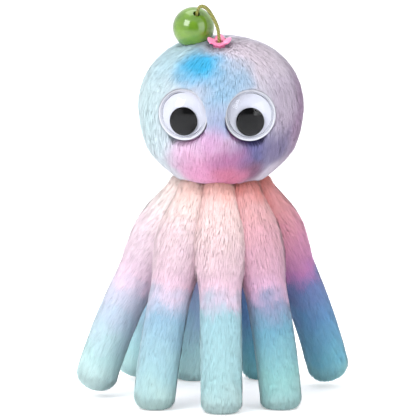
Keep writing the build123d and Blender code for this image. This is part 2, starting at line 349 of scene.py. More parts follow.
def closed_surface(name, grid, material, poles=True):
    """A mesh of a grid whose columns close round. With poles its first and last rows are single
    points, and without them its last row joins its first, as on a ring."""
    rows, columns = grid.shape[:2]
    if not poles:
        return build_mesh(name, grid.reshape(-1, 3), [grid_faces(rows, columns)], material)
    body = grid[1:-1].reshape(-1, 3)
    spot = np.arange((rows - 2) * columns).reshape(rows - 2, columns)
    beside = np.roll(spot, -1, 1)
    quads = np.stack([spot[:-1], beside[:-1], beside[1:], spot[1:]], -1).reshape(-1, 4)
    first, last = len(body), len(body) + 1
    top = np.stack([np.full(columns, first), beside[0], spot[0]], 1)
    foot = np.stack([np.full(columns, last), spot[-1], beside[-1]], 1)
    points = np.vstack([body, grid[0, :1], grid[-1, :1]])
    return build_mesh(name, points, [quads, top, foot], material)


bead_material, bead_nodes, bead_shader = new_material("lacquered_bead")


def mottle(tree, dark, light, scale, detail=2.0, start=0.0, end=1.0):
    """Two tones of one colour, cloudy at that scale."""
    place = add_node(tree, "TexCoord")
    cloud = add_node(tree, "TexNoise", {"Vector": place.outputs["Object"], "Scale": scale, "Detail": detail})
    return two_tones(tree, cloud.outputs["Fac"], dark, light, start, end)


set_inputs(bead_nodes, bead_shader, {
    "Base Color": mottle(bead_nodes, paint(84, 124, 28), paint(112, 152, 40), 110.0, 3.0, 0.35, 0.7),
    "Roughness": 0.16,
    "Coat Weight": 0.8,
    "Coat Roughness": 0.06,
})

mouth_height = math.sqrt(bead_radius**2 - bore_radius**2)
pocket_height = math.sqrt(bead_radius**2 - pocket_radius**2)
ball_start = math.asin(bore_radius / bead_radius) + 0.02
ball_end = math.pi - math.asin(pocket_radius / bead_radius) - 0.02
ball_turns = np.linspace(ball_start, ball_end, 61)
ball_arc = np.stack([bead_radius * np.sin(ball_turns), -bead_radius * np.cos(ball_turns)], 1)
bore_wall = soften(
    [
        ball_arc[-1],
        (pocket_radius, pocket_height),
        (pocket_radius, pocket_height - pocket_depth),
        (bore_radius, pocket_height - pocket_depth),
        (bore_radius, -mouth_height),
        ball_arc[0],
    ],
    lacquer_edge,
)
bead_profile = np.vstack([ball_arc, bore_wall[1:-1]])
bead_grid = turned_grid(bead_profile, 96, bead_centre, bore_axis)
bead = closed_surface("bead_lacquered", bead_grid, bead_material, poles=False)
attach(bead, "bead")
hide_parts("bead")

# ---------------------------------------------------------------------------------------------
# The flower: five cupped petals moulded in one, on a short collar that is sewn to the crown
# round the cord's hole.
petal_reach = 0.0033
petal_radius = 0.0026
petal_thickness = 0.0010
petal_cup_radius = 0.0130
collar_radius = 0.0030
collar_height = 0.0048
cord_hole_radius = 0.0019


def flower_grid(columns):
    """Rows run from the cord's hole over the petals' top, round their edge and back underneath to
    the collar. At angle a from a petal's middle the edge is at reach cos a + sqrt(radius^2 -
    (reach sin a)^2), the height is that of a ball of the cup's radius, and each petal is pinched
    up a little at its edge and down in the groove beside it."""
    angle = np.linspace(0, 2 * np.pi, columns, endpoint=False)
    fifth = 2 * np.pi / 5
    from_petal = (angle - np.pi / 2 + fifth / 2) % fifth - fifth / 2
    across = petal_reach * np.sin(from_petal)
    edge = petal_reach * np.cos(from_petal) + np.sqrt(petal_radius**2 - across**2)
    share = np.linspace(0, 1, 22)[:, None]
    out = cord_hole_radius + (edge - cord_hole_radius) * share
    groove = np.cos(2.5 * from_petal) ** 2
    cup = petal_cup_radius - np.sqrt(petal_cup_radius**2 - out**2)
    lift = collar_height + cup + 0.0004 * share**2 * groove + 0.0006 * share * (groove - 1)
    half = petal_thickness / 2 * np.sqrt(np.clip(1 - share**6, 0, 1))
    top = np.stack([out * np.cos(angle), out * np.sin(angle), lift + petal_thickness / 2 + half], -1)
    under = np.stack([out * np.cos(angle), out * np.sin(angle), lift + petal_thickness / 2 - half], -1)[::-1]
    keep = share[::-1, 0] * (petal_reach + petal_radius) > collar_radius
    ring = np.stack([np.cos(angle), np.sin(angle)], -1)
    collar = []
    for radius, height in ((collar_radius, collar_height - 0.0001), (collar_radius * 1.08, 0.0006),
                           (collar_radius, -0.0007), (cord_hole_radius, -0.0007)):
        collar.append(np.concatenate([radius * ring, np.full((columns, 1), height)], 1))
    return np.concatenate([top, under[1:][keep[1:]], np.array(collar)])


flower_material, flower_nodes, flower_shader = new_material("moulded_flower")
set_inputs(flower_nodes, flower_shader, {
    "Base Color": mottle(flower_nodes, paint(243, 120, 165), paint(253, 160, 198), 320.0, 2.0, 0.3, 0.75),
    "Roughness": 0.38,
    "Subsurface Weight": 0.25,
    "Subsurface Radius": (0.003, 0.0015, 0.0015),
    "Subsurface Scale": 0.5,
})

flower_local = flower_grid(160)
flower_turn = np.stack([(1, 0, 0), np.cross(flower_axis, (1, 0, 0)), np.array(flower_axis)])
flower_surface = flower_local @ flower_turn + np.array(flower_foot)
flower = closed_surface("flower_petals", flower_surface, flower_material, poles=False)
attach(flower, "head")
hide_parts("flower")

# ---------------------------------------------------------------------------------------------
# The two wiggle eyes: a white moulded cup with a raised rim and a post, a clear pressed dome
# that snaps inside the rim, and a loose black disc that lies at the bottom of the chamber.
eye_radius = 0.0125
rim_width = 0.0011
rim_height = 0.0026
cup_thickness = 0.0012
post_radius = 0.0020
post_length = 0.0130
dome_skirt = 0.0016
dome_rise = 0.0046
dome_wall = 0.0010
pupil_radius = 0.00675
pupil_thickness = 0.0010
pupil_gap = 0.0003


def plastic(name, dark, light, roughness, grain):
    """A moulded plastic whose colour drifts between two tones over patches of that size."""
    material, tree, shader = new_material(name)
    tones = mottle(tree, dark, light, 1 / grain)
    set_inputs(tree, shader, {"Base Color": tones, "Roughness": roughness})
    return material, tree, shader


cup_material = plastic("white_cup", paint(208, 210, 220), paint(214, 216, 225), 0.35, 0.006)[0]
# The pupils' gloss is turned well down, or they would mirror the white table.
pupil_material, pupil_nodes, pupil_shader = plastic(
    "black_pupil", paint(7, 7, 8), paint(12, 12, 13), 0.18, 0.002)
set_inputs(pupil_nodes, pupil_shader, {"Specular IOR Level": 0.03})

# Clear plastic that lets most of the light through to what is under it.
dome_material, dome_nodes, dome_shader = new_material("clear_dome")
dome_light = add_node(dome_nodes, "LightPath")
dome_pass = add_node(dome_nodes, "MapRange", {
    "Value": dome_light.outputs["Is Shadow Ray"], "To Min": 1.0, "To Max": 0.08})
set_inputs(dome_nodes, dome_shader, {
    "Base Color": paint(250, 251, 255),
    "Roughness": 0.02,
    "IOR": 1.25,
    "Transmission Weight": 1.0,
    "Alpha": dome_pass.outputs["Result"],
})

dome_radius = eye_radius - rim_width
ball_radius = (dome_radius**2 + dome_rise**2) / (2 * dome_rise)
dome_top = cup_thickness + dome_skirt + dome_rise
ball_depth = dome_top - ball_radius


def dome_profile():
    """The dome's half-section: up the skirt and over the ball of the outer wall to the pole, then
    back down the inner wall, which is the same ball and skirt less the wall."""
    outer_edge = math.asin(dome_radius / ball_radius)
    inner_radius = dome_radius - dome_wall
    inner_edge = math.asin(inner_radius / (ball_radius - dome_wall))
    over = np.linspace(outer_edge, 0, 30)
    back = np.linspace(0, inner_edge, 30)
    outer = np.stack([ball_radius * np.sin(over), ball_depth + ball_radius * np.cos(over)], 1)
    inner_ball = ball_radius - dome_wall
    inner = np.stack([inner_ball * np.sin(back), ball_depth + inner_ball * np.cos(back)], 1)
    seat = cup_thickness + 0.00002
    return outer, inner, inner_radius, seat


for side in ("left", "right"):
    eye_joint = joints["pupil_" + side + "_roll"]
    eye_back = Vector(eye_joint["pos_m"])
    eye_facing = Vector(eye_joint["axis"]).normalized()
    cup_corners = [
        (0, cup_thickness),
        (dome_radius, cup_thickness),
        (dome_radius, rim_height),
        (eye_radius, rim_height),
        (eye_radius, 0),
        (post_radius, 0),
        (post_radius, -post_length),
        (0, -post_length),
    ]
    cup_profile = soften(cup_corners, 0.00045)
    cup_grid = turned_grid(cup_profile, 96, eye_back, eye_facing)
    cup = closed_surface("eye_cup_" + side + "_moulded", cup_grid, cup_material)
    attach(cup, "head")
    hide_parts("eye_cup_" + side)

    outer, inner, inner_radius, seat = dome_profile()
    shell = np.vstack([[(inner_radius, seat), (dome_radius - 0.00003, seat)], outer - (0.00003, 0)])
    shell[:, 0] = np.maximum(shell[:, 0], 0)
    dome_wall_profile = np.vstack([shell[2:][::-1], shell[1:2], shell[:1], inner[::-1]])
    wall = turned_grid(dome_wall_profile, 96, eye_back, eye_facing)
    dome = closed_surface("eye_dome_" + side + "_clear", wall, dome_material)
    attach(dome, "head")
    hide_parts("eye_dome_" + side)

    pupil_back = cup_thickness + pupil_gap
    pupil_front = pupil_back + pupil_thickness
    room = min(inner_radius, math.sqrt((ball_radius - dome_wall) ** 2 - (pupil_front - ball_depth) ** 2))
    pupil_drop = room - pupil_gap - pupil_radius
    pupil_corners = [
        (0, pupil_front + 0.0001),
        (pupil_radius, pupil_front),
        (pupil_radius, pupil_back),
        (0, pupil_back),
    ]
    pupil_profile = soften(pupil_corners, 0.0003)
    pupil_centre = eye_back - Vector((0, 0, pupil_drop))
    pupil_grid = turned_grid(pupil_profile, 72, pupil_centre, eye_facing)
    pupil = closed_surface("eye_pupil_" + side + "_disc", pupil_grid, pupil_material)
    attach(pupil, "pupil_" + side)
    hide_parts("eye_pupil_" + side)

# ---------------------------------------------------------------------------------------------
# The head: a stuffed ball of long-pile plush, tie-dyed in soft patches, with painted shade in
# the patches on its right side. The backing cloth is one closed skin, flat under the eyes, and its
# pile is combed outward from the flower and down.
head_rise = 0.0291
head_drop = 0.0334
crown_radius = 0.050
neck_radius = 0.020497
head_wall = 0.0020
base_thickness = 0.0014
neck_height = cover_low.z
widest_height = neck_height + head_drop


def head_profile(steps=400):
    """The cloth's half-section from the crown's top to the neck, as (radius, height): a crown arc
    centred on the axis, a shoulder arc and a belly arc that meet upright at the widest height.
    Returns points evenly spaced along it."""
    shoulder = head_radius**2 + head_rise**2 - 2 * head_rise * crown_radius
    shoulder /= 2 * (head_radius - crown_radius)
    belly = ((head_radius - neck_radius) ** 2 + head_drop**2) / (2 * (head_radius - neck_radius))
    crown_middle = widest_height + head_rise - crown_radius
    meet = math.atan2(widest_height - crown_middle, head_radius - shoulder)
    low = -math.asin(head_drop / belly)
    arcs = []
    for centre, radius, start, end in (
        ((0, crown_middle), crown_radius, math.pi / 2, meet),
        ((head_radius - shoulder, widest_height), shoulder, meet, 0),
        ((head_radius - belly, widest_height), belly, 0, low),
    ):
        turn = np.linspace(start, end, 300)
        arcs.append(np.stack([centre[0] + radius * np.cos(turn), centre[1] + radius * np.sin(turn)], 1))
    line = np.vstack([arcs[0], arcs[1][1:], arcs[2][1:]])
    run = np.concatenate([[0], np.cumsum(np.linalg.norm(np.diff(line, axis=0), axis=1))])
    even = np.linspace(0, run[-1], steps)
    return np.stack([np.interp(even, run, line[:, 0]), np.interp(even, run, line[:, 1])], 1), run[-1]


# Each patch: its middle, sideways, forward and up from the middle of the head in mm, how far it
# spreads in mm, and its colour. The patches on the right side, sideways above zero, are darker
# partly from the dyeing and partly as painted shade of that side.
head_ground = paint(222, 218, 232)
head_patches = [
    ((-36, 8, 2), 48, paint(212, 236, 241)),
    ((-20, 12, 25), 24, paint(200, 232, 243)),
    ((37, 2, -4), 38, paint(178, 152, 182)),
    ((18, 14, 26), 24, paint(228, 216, 229)),
    ((28, 18, 6), 18, paint(206, 194, 212)),
    ((3, 30, 10), 19, paint(154, 200, 230)),
    ((7, 28, 16), 14, paint(170, 200, 226)),
    ((0, 34, -2), 13, paint(176, 190, 222)),
    ((-7.5, 26, 22), 17, paint(76, 192, 238)),
    ((16, 28, -18), 20, paint(124, 122, 168)),
    ((27, 20, -15), 15, paint(142, 134, 168)),
    ((14, 24, -29), 13, paint(150, 112, 140)),
    ((-2, 33, -13), 14, paint(226, 178, 218)),
    ((-11, 28, -22), 19, paint(236, 196, 226)),
    ((-3, 28, -30), 20, paint(234, 170, 208)),
    ((5, 30, -20), 15, paint(198, 134, 178)),
    ((5, 26, -32), 13, paint(214, 138, 168)),
    ((10, -34, 6), 30, paint(196, 224, 240)),
    ((-18, -26, -12), 24, paint(230, 196, 226)),
    ((20, -22, -14), 24, paint(172, 172, 216)),
    ((-8, -26, 20), 20, paint(130, 205, 238)),
]


def strand_group():
    """The shade of one strand of pile: the colour given, raised to the power 1 + (1 - lift) so that it
    is deepened at the foot, and a little darker there too, both painted shade among the strands,
    and a little lighter or darker than its neighbours."""
    group = bpy.data.node_groups.new("strand_shade", "ShaderNodeTree")
    group.interface.new_socket("Dye and shade", in_out="INPUT", socket_type="NodeSocketColor")
    for name, value in (("Lift", 1.0), ("Strand", 0.5), ("Painted foot shade", 0.15), ("Strand spread", 0.2)):
        socket = group.interface.new_socket(name, in_out="INPUT", socket_type="NodeSocketFloat")
        socket.default_value = value
    group.interface.new_socket("Colour", in_out="OUTPUT", socket_type="NodeSocketColor")
    given, result = group.nodes.new("NodeGroupInput"), group.nodes.new("NodeGroupOutput")

    def maths(kind, first, second):
        return add_node(group, "Math", {0: first, 1: second}, operation=kind).outputs[0]

    # Towards each strand's foot the colour is darker and deepened: painted shade among the strands.
    foot = maths("SUBTRACT", 1.0, given.outputs["Lift"])
    shade = maths("MULTIPLY", foot, given.outputs["Painted foot shade"])
    drift = maths("MULTIPLY", maths("SUBTRACT", given.outputs["Strand"], 0.5), given.outputs["Strand spread"])
    level = maths("ADD", maths("SUBTRACT", 1.0, shade), drift)
    painted_deeper_foot = add_node(group, "Gamma", {"Color": given.outputs["Dye and shade"], "Gamma": maths("ADD", 1.0, foot)})
    tint = add_node(group, "VectorMath", {0: painted_deeper_foot.outputs["Color"], "Scale": level}, operation="SCALE")
    set_inputs(group, result, {"Colour": tint.outputs["Vector"]})
    return group


strand_shade = strand_group()


def read_attribute(tree, name, socket):
    """The output of an attribute stored on the mesh."""
    return add_node(tree, "Attribute", attribute_name=name).outputs[socket]


def plush_finish(name):
    """The shader that all the plush shares: matt, with a soft sheen. Light falls the same on both
    faces of a strand: the normal is turned back where a strand is seen from behind."""
    material, tree, shader = new_material(name)
    surface = add_node(tree, "NewGeometry")
    behind = add_node(tree, "Math", {0: surface.outputs["Backfacing"], 1: -2.0, 2: 1.0},
                      operation="MULTIPLY_ADD")
    same_way = add_node(tree, "VectorMath", {0: surface.outputs["Normal"], "Scale": behind.outputs[0]},
                        operation="SCALE")
    set_inputs(tree, shader, {
        "Roughness": 0.9,
        "Specular IOR Level": 0.15,
        "Sheen Weight": 0.35,
        "Sheen Roughness": 0.45,
        "Normal": same_way.outputs["Vector"],
    })
    return material, tree, shader


def shade_strands(tree, shader, dye_and_shade, is_pile):
    """Puts the colour through the strands' painted shade. The backing cloth takes the painted shade
    of their feet, the darkest and most deepened.
    """
    shade = add_node(tree, "Group", node_tree=strand_shade)
    lift = read_attribute(tree, "lift", "Fac") if is_pile else 0.0
    strand = read_attribute(tree, "strand", "Fac") if is_pile else 0.5
    set_inputs(tree, shade, {"Dye and shade": dye_and_shade, "Lift": lift, "Strand": strand})
    set_inputs(tree, shader, {"Base Color": shade.outputs["Colour"]})


def head_dye_and_shade(name, is_pile):
    """Tie-dyed patches with painted shade on the head: each patch covers what is under it with a
    smooth strength, full within a quarter of its spread and none beyond it, after the place has
    been shaken by a noise a few millimetres wide."""
    material, tree, shader = plush_finish(name)
    place = add_node(tree, "TexCoord")
    centred = add_node(tree, "Mapping", {
        "Vector": place.outputs["Object"], "Location": (-head_x, -head_y, -widest_height)})
    shake = add_node(tree, "TexNoise", {"Vector": centred.outputs["Vector"], "Scale": 70.0, "Detail": 2.0})
    around_zero = add_node(tree, "VectorMath", {0: shake.outputs["Color"], 1: (0.5, 0.5, 0.5)},
                           operation="SUBTRACT")
    wander = add_node(tree, "VectorMath", {
        0: around_zero.outputs["Vector"], 1: (0.010, 0.010, 0.010), 2: centred.outputs["Vector"]},
        operation="MULTIPLY_ADD")
    colour = head_ground
    for (aside, forward, up), spread, dye_and_shade in head_patches:
        away = add_node(tree, "VectorMath", {
            0: wander.outputs["Vector"], 1: (aside / 1000, -forward / 1000, up / 1000)}, operation="DISTANCE")
        strength = add_node(tree, "MapRange", {
            "Value": away.outputs["Value"], "From Min": spread / 1000, "From Max": spread / 4000},
            interpolation_type="SMOOTHSTEP")
        cover = add_node(tree, "Mix", {0: strength.outputs["Result"], 6: colour, 7: dye_and_shade}, data_type="RGBA")
        colour = cover.outputs[2]
    shade_strands(tree, shader, colour, is_pile)
    return material


head_cloth_material = head_dye_and_shade("head_cloth", False)
head_pile_material = head_dye_and_shade("head_pile", True)

profile, profile_length = head_profile()
skin_profile = np.vstack([
    profile[::5] - (0, 0.00002),
    [profile[-1], (neck_radius - head_wall, neck_height + 0.00002)],
    [(neck_radius - head_wall, neck_height + base_thickness + 0.0001)],
    [(0, neck_height + base_thickness + 0.0001)],
])
skin_profile[0, 0] = 0
head_grid = turned_grid(skin_profile, 144, (head_x, head_y, 0), (0, 0, 1), (0, 1, 0))


def clear_of_eyes(points, margin, press):
    """Points in front of an eye's back and within its radius plus a margin: pressed onto the plane
    of its back, or combed straight outward to that radius."""
    for side in ("left", "right"):
        joint = joints["pupil_" + side + "_roll"]
        back, facing = np.array(joint["pos_m"]), np.array(joint["axis"])
        away = points - back
        depth = away @ facing
        flat = away - depth[..., None] * facing
        distance = np.linalg.norm(flat, axis=-1)
        inside = (distance < eye_radius + margin) & (depth > (-0.0001 if press else -0.0005))
        if press:
            points = np.where(inside[..., None], points - (depth[..., None] + 0.0001) * facing, points)
        else:
            push = (eye_radius + margin) / np.maximum(distance, 1e-5)
            beside_eye = back + flat * push[..., None] + depth[..., None] * facing
            points = np.where(inside[..., None], beside_eye, points)
    return points


head_skin = closed_surface("head_cloth", clear_of_eyes(head_grid, 0.0007, True), head_cloth_material)
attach(head_skin, "head")
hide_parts("head_cover", "head_filling")

# The head's pile, in two halves.
head_pile_count = 75000
head_pile_rise = 0.0043
head_pile_reach = 0.0052
head_lock_relief = 0.03
strand_width = 0.00042


def spread_evenly(count, start=0.5):
    """Evenly scattered pairs between 0 and 1: the n-th pair is n times (0.75488, 0.56984), less
    its whole part."""
    step = np.arange(count)[:, None] * np.array([0.7548776662466927, 0.5698402909980532])
    return (start + step) % 1


def ripple(across, along, width, length, seed):
    """Soft waves for locks of pile: the sum of sine waves about that wide and that long, spread
    over directions by the golden angle. Returns the height, from about -1 to 1, and its slopes
    across and along."""
    height, slope_across, slope_along = (np.zeros_like(across) for _ in range(3))
    for k in range(7):
        angle = 2.4 * (k + seed)
        fine = 1 + 0.35 * math.sin(1.7 * k + seed)
        wave_across = 2 * math.pi / width * fine * math.cos(0.35 * math.sin(angle))
        wave_along = 2 * math.pi / length * math.sin(angle) * 1.2
        phase = wave_across * across + wave_along * along + 5.1 * k + 3.3 * seed
        height += np.sin(phase) / 3.2
        slope_across += wave_across * np.cos(phase) / 3.2
        slope_along += wave_along * np.cos(phase) / 3.2
    return height, slope_across, slope_along


def lay_pile(name, foot, out, run, rise, reach, waves, relief, chart, material, extra, seed, fix):
    """Strands of pile as narrow leaves of two triangles: a foot, two shoulders half-way up and a
    tip. The shoulders stand at foot + 0.92 rise out + 0.3 reach run, either side by half the width,
    and the tip at foot + rise out + reach run, swayed sideways a little at random and towards the
    lock's ridge. Rise and reach also differ at random from strand to strand."""
    count = len(foot)
    height, slope_across, slope_along = waves
    wild = np.random.default_rng(seed).random((count, 2))
    jitter = 2 * wild - 1
    side = np.cross(run, out)
    side /= np.linalg.norm(side, axis=1, keepdims=True)
    lift = (rise * (1 + relief * height + 0.12 * jitter[:, 0]))[:, None]
    far = (reach * (1 + 0.22 * jitter[:, 1]))[:, None]
    ridge = np.clip(slope_across / 1200, -1, 1)[:, None]
    sway = 6 * relief * 0.0007 * ridge + 0.0006 * jitter[:, :1]
    turn = 0.15 * jitter[:, 1:2]
    wide = side * np.cos(turn) + out * np.sin(turn)
    middle = foot + 0.92 * lift * out + 0.3 * far * run + 0.45 * sway * side
    tip = foot + lift * out + far * run + sway * side
    half = strand_width / 2 * (1 + 0.3 * jitter[:, :1])
    points = np.stack([foot, middle - half * wide, middle + half * wide, tip], 1)
    points = fix(points)
    base = np.arange(count)[:, None] * 4
    faces = np.concatenate([base + (0, 1, 2), base + (2, 1, 3)])
    a, b, c = points[:, 0], points[:, 1], points[:, 2]
    facing = np.einsum("ij,ij->i", np.cross(b - a, c - a), out)
    if np.median(facing) < 0:
        faces = faces[:, ::-1]
    mesh = bpy.data.meshes.new(name)
    mesh.vertices.add(count * 4)
    mesh.vertices.foreach_set("co", points.reshape(-1).astype(np.float32))
    mesh.loops.add(faces.size)
    mesh.loops.foreach_set("vertex_index", faces.reshape(-1).astype(np.int32))
    mesh.polygons.add(len(faces))
    mesh.polygons.foreach_set("loop_start", np.arange(0, faces.size, 3, dtype=np.int32))
    mesh.update(calc_edges=True)
    mesh.validate()
    blade = np.cross(side, tip - middle)
    blade /= np.linalg.norm(blade, axis=1, keepdims=True)
    blade *= np.sign(np.einsum("ij,ij->i", blade, out))[:, None]
    tilt = relief * 1.5 * (ridge * side + np.clip(slope_along / 1200, -1, 1)[:, None] * run)
    shown = out + 0.12 * blade - tilt + 0.2 * side * jitter[:, :1] + 0.12 * run * jitter[:, 1:2]
    shown /= np.linalg.norm(shown, axis=1, keepdims=True)
    mesh.normals_split_custom_set_from_vertices(np.repeat(shown, 4, 0).tolist())
    values = {"lift": np.tile([0.0, 0.75, 0.75, 1.0], count), "strand": np.repeat(wild[:, 0], 4)}
    values.update({key: np.repeat(value, 4, 0) for key, value in extra.items()})
    for key, value in values.items():
        kind = "FLOAT" if value.ndim == 1 else "FLOAT_VECTOR"
        mesh.attributes.new(key, kind, "POINT").data.foreach_set(
            "value" if value.ndim == 1 else "vector", value.astype(np.float32).reshape(-1))
    chart_points = np.repeat(chart, 4, 0)
    chart_points[:, 0] += np.tile([0, -0.003, 0.003, 0], count)
    chart_points[:, 1] += np.tile([0, 0.012, 0.012, 0.03], count)
    layer = mesh.uv_layers.new(name="OFBake")
    corner = np.empty(faces.size, np.int32)
    mesh.loops.foreach_get("vertex_index", corner)
    spots = np.clip(0.02 + 0.94 * chart_points, 0, 1)[corner]
    layer.data.foreach_set("uv", spots.astype(np.float32).reshape(-1))
    mesh.materials.append(material)
    pile = bpy.data.objects.new(name, mesh)
    scene.collection.objects.link(pile)
    return pile


def comb_head(points):
    """Combs the pile round the eyes and off the bead."""
    points = clear_of_eyes(points, 0.0002, False)
    from_bead = points - np.array(bead_centre)
    distance = np.linalg.norm(from_bead, axis=-1, keepdims=True)
    points = np.where(distance < bead_radius + 0.0001,
                      np.array(bead_centre) + from_bead / distance * (bead_radius + 0.0001), points)
    return points


def head_pile(name, middle_turn, seed):
    """Half of the head's pile: feet spread evenly by area over the turned profile, within a
    quarter turn of that direction."""
    share = spread_evenly(head_pile_count, 0.37 + 0.1 * seed)
    step = np.linalg.norm(np.diff(profile, axis=0), axis=1)
    area = np.concatenate([[0], np.cumsum(step * (profile[1:, 0] + profile[:-1, 0]) / 2)])
    run_at = np.concatenate([[0], np.cumsum(step)])
    along = np.interp(share[:, 0], area / area[-1], run_at)
    radius, height = np.interp(along, run_at, profile[:, 0]), np.interp(along, run_at, profile[:, 1])
    slope = np.gradient(profile, run_at, axis=0)
    down_r, down_z = np.interp(along, run_at, slope[:, 0]), np.interp(along, run_at, slope[:, 1])
    angle = middle_turn + (share[:, 1] - 0.5) * np.pi
    ring = np.stack([np.cos(angle), np.sin(angle), np.zeros_like(angle)], 1)
    up = np.array((0.0, 0.0, 1.0))
    foot = np.array((head_x, head_y, 0)) + radius[:, None] * ring + height[:, None] * up
    out = -down_z[:, None] * ring + down_r[:, None] * up
    run = down_r[:, None] * ring + down_z[:, None] * up
    waves = ripple(angle * 0.030, along, 0.0052, 0.020, seed)
    rise = np.full(head_pile_count, head_pile_rise)
    by_neck = np.clip((height - neck_height) / 0.018, 0, 1)
    rise *= 0.3 + 0.7 * by_neck
    from_flower = np.linalg.norm(foot - np.array(flower_foot), axis=1)
    lying = (0.12 + 0.88 * by_neck) * np.clip((from_flower - 0.002) / 0.009, 0.1, 1)
    keep = from_flower > collar_radius + 0.0003
    for side in ("left", "right"):
        joint = joints["pupil_" + side + "_roll"]
        away = foot - np.array(joint["pos_m"])
        depth = away @ np.array(joint["axis"])
        flat = np.linalg.norm(away - depth[:, None] * np.array(joint["axis"]), axis=1)
        keep &= ~((flat < eye_radius + 0.0001) & (depth > -0.002))
    chart = np.stack([share[:, 1], along / profile_length], 1)
    return lay_pile(name, foot[keep], out[keep], run[keep], rise[keep], head_pile_reach * lying[keep],
                    tuple(wave[keep] for wave in waves), head_lock_relief, chart[keep], head_pile_material,
                    {}, seed, comb_head)


for name, middle_turn, seed in (("head_pile_front", -math.pi / 2, 1), ("head_pile_back", math.pi / 2, 2)):
    pile = head_pile(name, middle_turn, seed)
    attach(pile, "head")

# ---------------------------------------------------------------------------------------------
# The neck's inside and the hidden hardware: the woven patch that closes the neck, the thread
# that gathers it, the stitches that hold the arms, and the plastic washers in the head.


def woven(name, dark, light, pitch):
    """Plain-woven cloth: two sets of bands at right angles, as colour and as height."""
    material, tree, shader = new_material(name)
    place = add_node(tree, "TexCoord")
    bands = [
        add_node(tree, "TexWave", {
            "Vector": place.outputs["Object"], "Scale": 0.314 / pitch, "Distortion": 0.6},
            bands_direction=direction).outputs["Fac"]
        for direction in ("X", "Y")
    ]
    mixed = add_node(tree, "Math", {0: bands[0], 1: bands[1]}, operation="MULTIPLY").outputs[0]
    bump = add_node(tree, "Bump", {"Distance": pitch / 3, "Strength": 0.5, "Height": mixed})
    set_inputs(tree, shader, {
        "Base Color": two_tones(tree, mixed, dark, light),
        "Roughness": 0.85,
        "Normal": bump.outputs["Normal"],
    })
    return material


def dress(node, material):
    """Gives a CAD node that material in place of its plain one."""
    piece = frame["nodes"][node]
    piece.data.materials.clear()
    piece.data.materials.append(material)


dress("head_base", woven("backing_cloth", paint(206, 176, 196), paint(236, 214, 228), 0.0007))
thread_material = woven("sewing_thread", paint(190, 160, 178), paint(228, 206, 218), 0.0003)
dress("neck_thread", thread_material)
dress("arm_stitches", thread_material)
washer_material = plastic("washer_plastic", paint(214, 214, 208), paint(226, 226, 220), 0.5, 0.003)[0]
for node in ("eye_washer_left", "eye_washer_right", "cord_anchor"):
    dress(node, washer_material)

# ---------------------------------------------------------------------------------------------
# The eight arms: stuffed tubes of the same plush, narrow where they are stitched under the neck,
# drooping a little, and dip-dyed in bands from peach or violet at the top to mint at the tip. The
# bands also carry painted light and shade.
arm_radius = 0.0082
arm_root_radius = 0.0059
arm_taper_length = 0.0380
arm_droop_length = 0.0605
arm_droop = math.radians(12.0)
arm_puff = 0.0008
arm_pile_count = 56000
arm_pile_rise = 0.0017
arm_pile_reach = 0.0046
arm_pile_extra = 0.0032
arm_lock_relief = 0.05

# For each arm: its lean at the root in degrees, and its bands as (share of its length, colour).
# The colours hold painted light and shade as well as the dyeing: the right-hand arms are darker
# partly as painted shade of that side, the rear arms are paler as painted light against the front
# arms' shadow on them, and the top band is a strong coral, painted light against the shade under
# the head.
arms = {
    "front": (20.5, [
        (0.04, (255, 196, 188)), (0.14, (252, 224, 222)), (0.26, (250, 224, 226)), (0.44, (244, 212, 230)),
        (0.50, (206, 200, 218)), (0.56, (170, 208, 218)), (0.80, (176, 212, 216)), (0.95, (190, 216, 216)),
    ]),
    "front_right": (20.0, [
        (0.04, (240, 156, 150)), (0.14, (232, 186, 188)), (0.26, (236, 188, 200)), (0.45, (232, 192, 220)),
        (0.52, (156, 162, 192)), (0.61, (126, 176, 198)), (0.80, (158, 206, 206)), (0.95, (172, 206, 206)),
    ]),
    "right": (29.0, [
        (0.04, (228, 150, 144)), (0.14, (226, 168, 172)), (0.30, (222, 160, 186)), (0.45, (198, 140, 192)),
        (0.52, (126, 136, 184)), (0.66, (116, 160, 200)), (0.84, (128, 188, 208)), (0.95, (154, 206, 212)),
    ]),
    "rear_right": (23.0, [
        (0.04, (216, 150, 150)), (0.20, (206, 156, 176)), (0.42, (150, 130, 186)), (0.60, (110, 146, 194)),
        (0.80, (116, 178, 198)), (0.95, (132, 190, 196)),
    ]),
    "rear": (20.5, [
        (0.04, (240, 180, 176)), (0.20, (226, 180, 202)), (0.42, (190, 166, 214)), (0.60, (170, 200, 230)),
        (0.80, (190, 230, 234)), (0.95, (198, 232, 232)),
    ]),
    "rear_left": (28.0, [
        (0.04, (252, 212, 206)), (0.20, (244, 214, 224)), (0.42, (216, 204, 234)), (0.60, (184, 212, 234)),
        (0.80, (190, 230, 234)), (0.95, (198, 232, 232)),
    ]),
    "left": (29.5, [
        (0.04, (255, 234, 228)), (0.14, (254, 242, 240)), (0.26, (252, 234, 242)), (0.46, (244, 220, 238)),
        (0.53, (216, 214, 232)), (0.64, (198, 214, 230)), (0.80, (194, 226, 228)), (0.95, (202, 228, 228)),
    ]),
    "front_left": (22.0, [
        (0.04, (255, 216, 208)), (0.14, (252, 232, 228)), (0.26, (251, 228, 234)), (0.44, (244, 214, 232)),
        (0.50, (204, 202, 222)), (0.58, (160, 194, 216)), (0.80, (178, 214, 220)), (0.95, (190, 218, 216)),
    ]),
}


